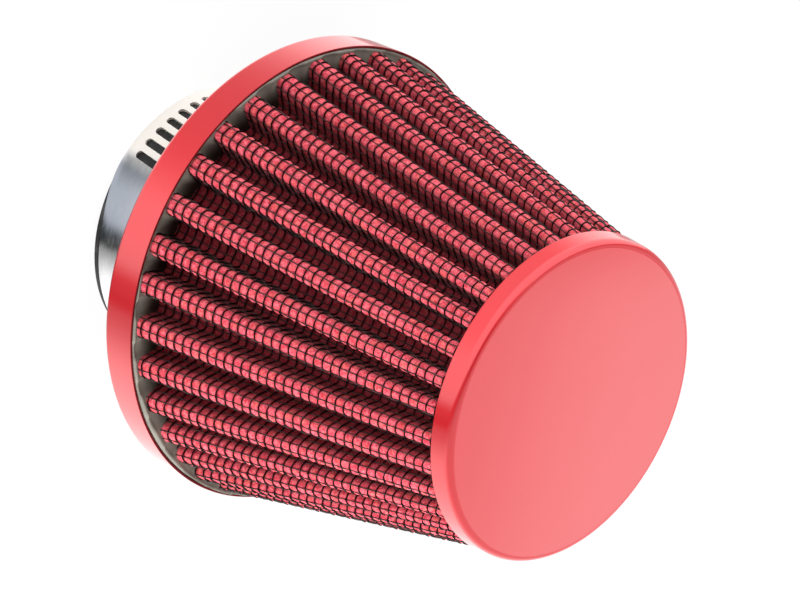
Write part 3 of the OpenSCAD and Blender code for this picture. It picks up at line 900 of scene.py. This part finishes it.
def plain_run(bm, start, end, squeeze=None):
    """A plain length of strip between two distances along it."""
    steps = max(1, round((end - start) / 0.9))
    lines = []
    for k in range(steps + 1):
        s = start + (end - start) * k / steps
        share = squeeze(s) if squeeze else 1.0
        lines.append([bm.verts.new((s * MM, h * share * MM, 0)) for h in column])
    for before, after in zip(lines, lines[1:]):
        for k in range(len(column) - 1):
            bm.faces.new((before[k], after[k], after[k + 1], before[k + 1]))


def round_tip(s):
    """The strip's width near its end, as a share of the full width."""
    short_of_full = max(0.0, 1 - s / (band_w / 2))
    return max(0.02, math.sqrt(max(0.0, 1 - short_of_full ** 2)))


def flat_object(name, bm):
    mesh = bpy.data.meshes.new(name)
    bm.to_mesh(mesh)
    bm.free()
    piece = bpy.data.objects.new(name, mesh)
    scene.collection.objects.link(piece)
    return piece


cell = flat_object("slot_cell", slot_cell())
ends = bmesh.new()
slots_from = screw_run - (slots_tail + 0.5) * pitch
slots_to = screw_run + (slots_ahead + 0.5) * pitch
plain_run(ends, 0.0, min(band_w / 2, slots_from), round_tip)
plain_run(ends, min(band_w / 2, slots_from), slots_from)
plain_run(ends, slots_to, run[-1])
plain_ends = flat_object("plain_ends", ends)

# %% Punch, bend and thicken the strip
strip_inputs = [
    ("Cell", "Object", None), ("Plain", "Object", None), ("Course", "Object", None), ("Slots", "Int", 20),
    ("First slot", "Float", 0.0), ("Pitch", "Float", 0.003), ("Middle", "Float", 0.0078),
    ("Material", "Material", None)]
tree, given, result = geometry_tree("strip", strip_inputs, [("Geometry", "Geometry")])
shapes = {label: tree.add("GeometryNodeObjectInfo", None, {"Object": given[label]}, "Geometry")
          for label in ("Cell", "Plain", "Course")}
stations = tree.add("GeometryNodeMeshLine", {"mode": "OFFSET"}, {
    "Count": given["Slots"], "Start Location": tree.vector(given["First slot"], 0.0, 0.0),
    "Offset": tree.vector(given["Pitch"], 0.0, 0.0)})
punched = tree.add("GeometryNodeInstanceOnPoints", None, {"Points": stations, "Instance": shapes["Cell"]})
punched = tree.add("GeometryNodeRealizeInstances", None, {"Geometry": punched})
join = tree.node("GeometryNodeJoinGeometry")
for part in (punched, shapes["Plain"]):
    tree.tree.links.new(part.socket, join.inputs[0])
strip = tree.add("GeometryNodeMergeByDistance", None, {"Geometry": tree.output(join, 0), "Distance": 2e-6})
x, y, z = tree.parts(tree.add("GeometryNodeInputPosition"))
spot = tree.node("GeometryNodeSampleCurve", {"mode": "LENGTH"}, {"Curves": shapes["Course"], "Length": x})
bent = tree.output(spot, "Position") + tree.vector(0.0, 0.0, given["Middle"] + y)
strip = tree.add("GeometryNodeSetPosition", None, {"Geometry": strip, "Position": bent})
strip = tree.add("GeometryNodeSetShadeSmooth", None, {"Geometry": strip})
strip = tree.add("GeometryNodeRealizeInstances", None, {"Geometry": strip})
strip = tree.add("GeometryNodeSetMaterial", None, {"Geometry": strip, "Material": given["Material"]})
tree.tree.links.new(strip.socket, result.inputs[0])

band = grow("band_punched", tree.tree, {
    "Cell": cell, "Plain": plain_ends, "Course": course_guide, "Slots": slots_ahead + slots_tail + 1,
    "First slot": (screw_run - slots_tail * pitch) * MM, "Pitch": pitch * MM, "Middle": band_z * MM,
    "Material": band_steel})
for guide in (cell, plain_ends, course_guide):
    bpy.data.objects.remove(guide)
thick = band.modifiers.new("thickness", "SOLIDIFY")
thick.thickness = band_t * MM
thick.offset = 0
broken = band.modifiers.new("broken edges", "BEVEL")
broken.width = 0.07 * MM
broken.segments = 2
broken.limit_method = "ANGLE"
broken.angle_limit = math.radians(50)
settled(band)
stands_for(band, "clamp_band", "filter")

# %% [markdown]
# ## Housing, saddle and screw
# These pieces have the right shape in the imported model, and only lack the broken edges of pressed
# and turned steel. A copy of each mesh is merged, its flat faces are joined, and a narrow bevel
# catches the light.

# %% Housing, saddle and screw
def broken_edges(name, node, body, material, width):
    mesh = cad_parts[node].data.copy()
    bm = bmesh.new()
    bm.from_mesh(mesh)
    bmesh.ops.remove_doubles(bm, verts=bm.verts, dist=2e-6)
    bmesh.ops.dissolve_limit(bm, angle_limit=math.radians(1), verts=bm.verts, edges=bm.edges)
    bm.to_mesh(mesh)
    bm.free()
    mesh.materials.clear()
    mesh.materials.append(material)
    piece = bpy.data.objects.new(name, mesh)
    scene.collection.objects.link(piece)
    bevel = piece.modifiers.new("broken edges", "BEVEL")
    bevel.width = width * MM
    bevel.segments = 2
    bevel.limit_method = "ANGLE"
    bevel.angle_limit = math.radians(35)
    settled(piece)
    piece.data.shade_smooth()
    piece.data.set_sharp_from_angle(angle=math.radians(32))
    return stands_for(piece, node, body)


broken_edges("housing_folded", "clamp_housing", "filter", steel, 0.1)
broken_edges("saddle_pressed", "clamp_saddle", "filter", steel, 0.08)
broken_edges("screw_turned", "clamp_screw", "screw", steel, 0.08)

# %% [markdown]
# ## Floor and light
# The photograph is cut out on plain white. The floor is white paper, and most of what the camera
# sees of it is a flat white, which leaves only a soft trace of the filter's shadow. Seen from below
# it is clear, so that one can look into the neck. Polished surfaces see through it to the world,
# whose brightness changes with direction: a bright table below, soft boxes above and a dark gap
# between give ring and cap their gradients. Near the neck, on one side, they see the floor dimmed
# and bluish instead, a painted shadow. Three wide soft lamps light cotton and potting, and
# stay out of the reflections.

# %% Floor
def white_floor(tree, place):
    paper = tree.add("ShaderNodeBsdfDiffuse", None, {"Color": (0.86, 0.86, 0.86, 1)})
    plain = tree.add("ShaderNodeEmission", None, {"Color": (1, 1, 1, 1), "Strength": 1.0})
    rays = tree.node("ShaderNodeLightPath")
    x, y, z = tree.parts(place)
    # Painted shadow: near the neck, on the side facing shade_way, reflections see the floor dimmed and
    # bluish.
    away = tree.dot(place, place) ** 0.5
    facing_shade = (x * math.cos(shade_way) + y * math.sin(shade_way)) / away
    shade = tree.ramp(away, 0.030, 0.070, 1.0, 0.0) * tree.ramp(facing_shade, 0.93, 0.965)
    clear = tree.add("ShaderNodeBsdfTransparent", None, {"Color": (1, 1, 1, 1)})
    dim = tree.add("ShaderNodeBsdfTransparent", None, {"Color": (0.40, 0.43, 0.49, 1)})
    open_floor = tree.add("ShaderNodeMixShader", None, {0: shade, 1: clear, 2: dim})
    flat_white = tree.output(rays, "Is Camera Ray") * 0.9
    sheet = tree.add("ShaderNodeMixShader", None, {0: flat_white, 1: paper, 2: plain})
    mirrored = tree.output(rays, "Is Glossy Ray")
    sheet = tree.add("ShaderNodeMixShader", None, {0: mirrored, 1: sheet, 2: open_floor})
    under = tree.output(tree.node("ShaderNodeNewGeometry"), "Backfacing")
    return tree.add("ShaderNodeMixShader", None, {0: under, 1: sheet, 2: clear})


shade_way = math.radians(139)
floor_mesh = bpy.data.meshes.new("floor")
reach = 3.0
floor_z = -0.05 * MM
corners = [(x, y, floor_z) for x, y in ((-reach, -reach), (reach, -reach), (reach, reach), (-reach, reach))]
floor_mesh.from_pydata(corners, [], [(0, 1, 2, 3)])
floor_mesh.materials.append(finish("floor", white_floor))
floor = bpy.data.objects.new("floor", floor_mesh)
scene.collection.objects.link(floor)

# %% World and lamps
def studio(tree, way):
    """Brightness by direction: a bright table below, soft boxes above and a dark gap between."""
    height = tree.dot(way, room_up)
    x, y, z = tree.parts(way)
    table = tree.ramp(height, -0.45, -0.1, 1.55, 0.45) * tree.ramp(z, -0.3, 0.4, 1.0, 0.58)
    left, right = tree.ramp(height, 0.50, 0.82, 1.40, 0.42), tree.ramp(height, 0.35, 0.85, 1.45, 0.42)
    low_boxes = left + (right - left) * tree.ramp(x, -0.05, 0.12)
    boxes = low_boxes + (1.5 - low_boxes) * tree.ramp(z, -0.56, -0.40)
    level = table + (boxes - table) * tree.ramp(height, -0.02, 0.02)
    gap = tree.ramp(height, -0.13, -0.05) * tree.ramp(height, 0.06, 0.22, 1.0, 0.0)
    gap = gap * tree.ramp(x, 0.0, 0.3, 1.0, 0.0)
    overhead = tree.ramp(tree.dot(way, over_cap), 0.90, 0.975)
    level = level * (1 - gap * 0.9) * (1 - overhead * 0.65)
    downwards = tree.dot(way, face_down)
    glow = tree.ramp(downwards, -0.055, -0.018, 0.2, 1.3)
    glow = glow * (1 + tree.ramp(tree.dot(way, face_right) + 0.3 * downwards, -0.02, 0.06, 0.0, 0.6))
    return level + (glow - level) * tree.ramp(tree.dot(way, face_mirror), 0.984, 0.993)


room_up = tuple(Vector((0.215, 0.948, -0.233)).normalized())
over_cap = tuple(Vector((0.01, 0.24, 0.97)).normalized())
face_mirror, face_down, face_right = (0.490, -0.598, 0.634), (-0.585, -0.766, -0.265), (0.786, -0.014, -0.619)
brightest = 2.5
world = bpy.data.worlds.new("studio")
world.use_nodes = True
world.node_tree.nodes.clear()
sky = Tree(world.node_tree)
facing = sky.add("ShaderNodeTexCoord", None, None, "Generated")
unlit = sky.add("ShaderNodeBackground", None, {"Color": (0, 0, 0, 1), "Strength": 0.0})
lit = sky.add("ShaderNodeBackground", None, {"Color": (1, 1, 1, 1), "Strength": brightest})
tent = sky.add("ShaderNodeMixShader", None, {0: studio(sky, facing) * (1 / brightest), 1: unlit, 2: lit})
sky.node("ShaderNodeOutputWorld", None, {"Surface": tent})
scene.world = world


def lamp(name, azimuth, elevation, away, size, watts):
    """A round area lamp by its direction from the filter's middle, in degrees and millimetres."""
    a, e = math.radians(azimuth), math.radians(elevation)
    way = Vector((math.cos(a) * math.cos(e), math.sin(a) * math.cos(e), math.sin(e))) * away * MM
    data = bpy.data.lights.new(name, "AREA")
    data.shape = "DISK"
    data.size = size * MM
    data.energy = watts
    light = bpy.data.objects.new(name, data)
    light.matrix_world = (Matrix.Translation(Vector((0, 0, 0.06)) + way)
                          @ way.to_track_quat("Z", "Y").to_matrix().to_4x4())
    light.visible_camera = False
    light.visible_glossy = False
    scene.collection.objects.link(light)


lamp("far side", 50, 16, 900, 500, 5.5)
lamp("near side", 245, 15, 900, 500, 7.5)
lamp("left side", 187, 14, 900, 500, 11)
scene.view_settings.view_transform = "Standard"
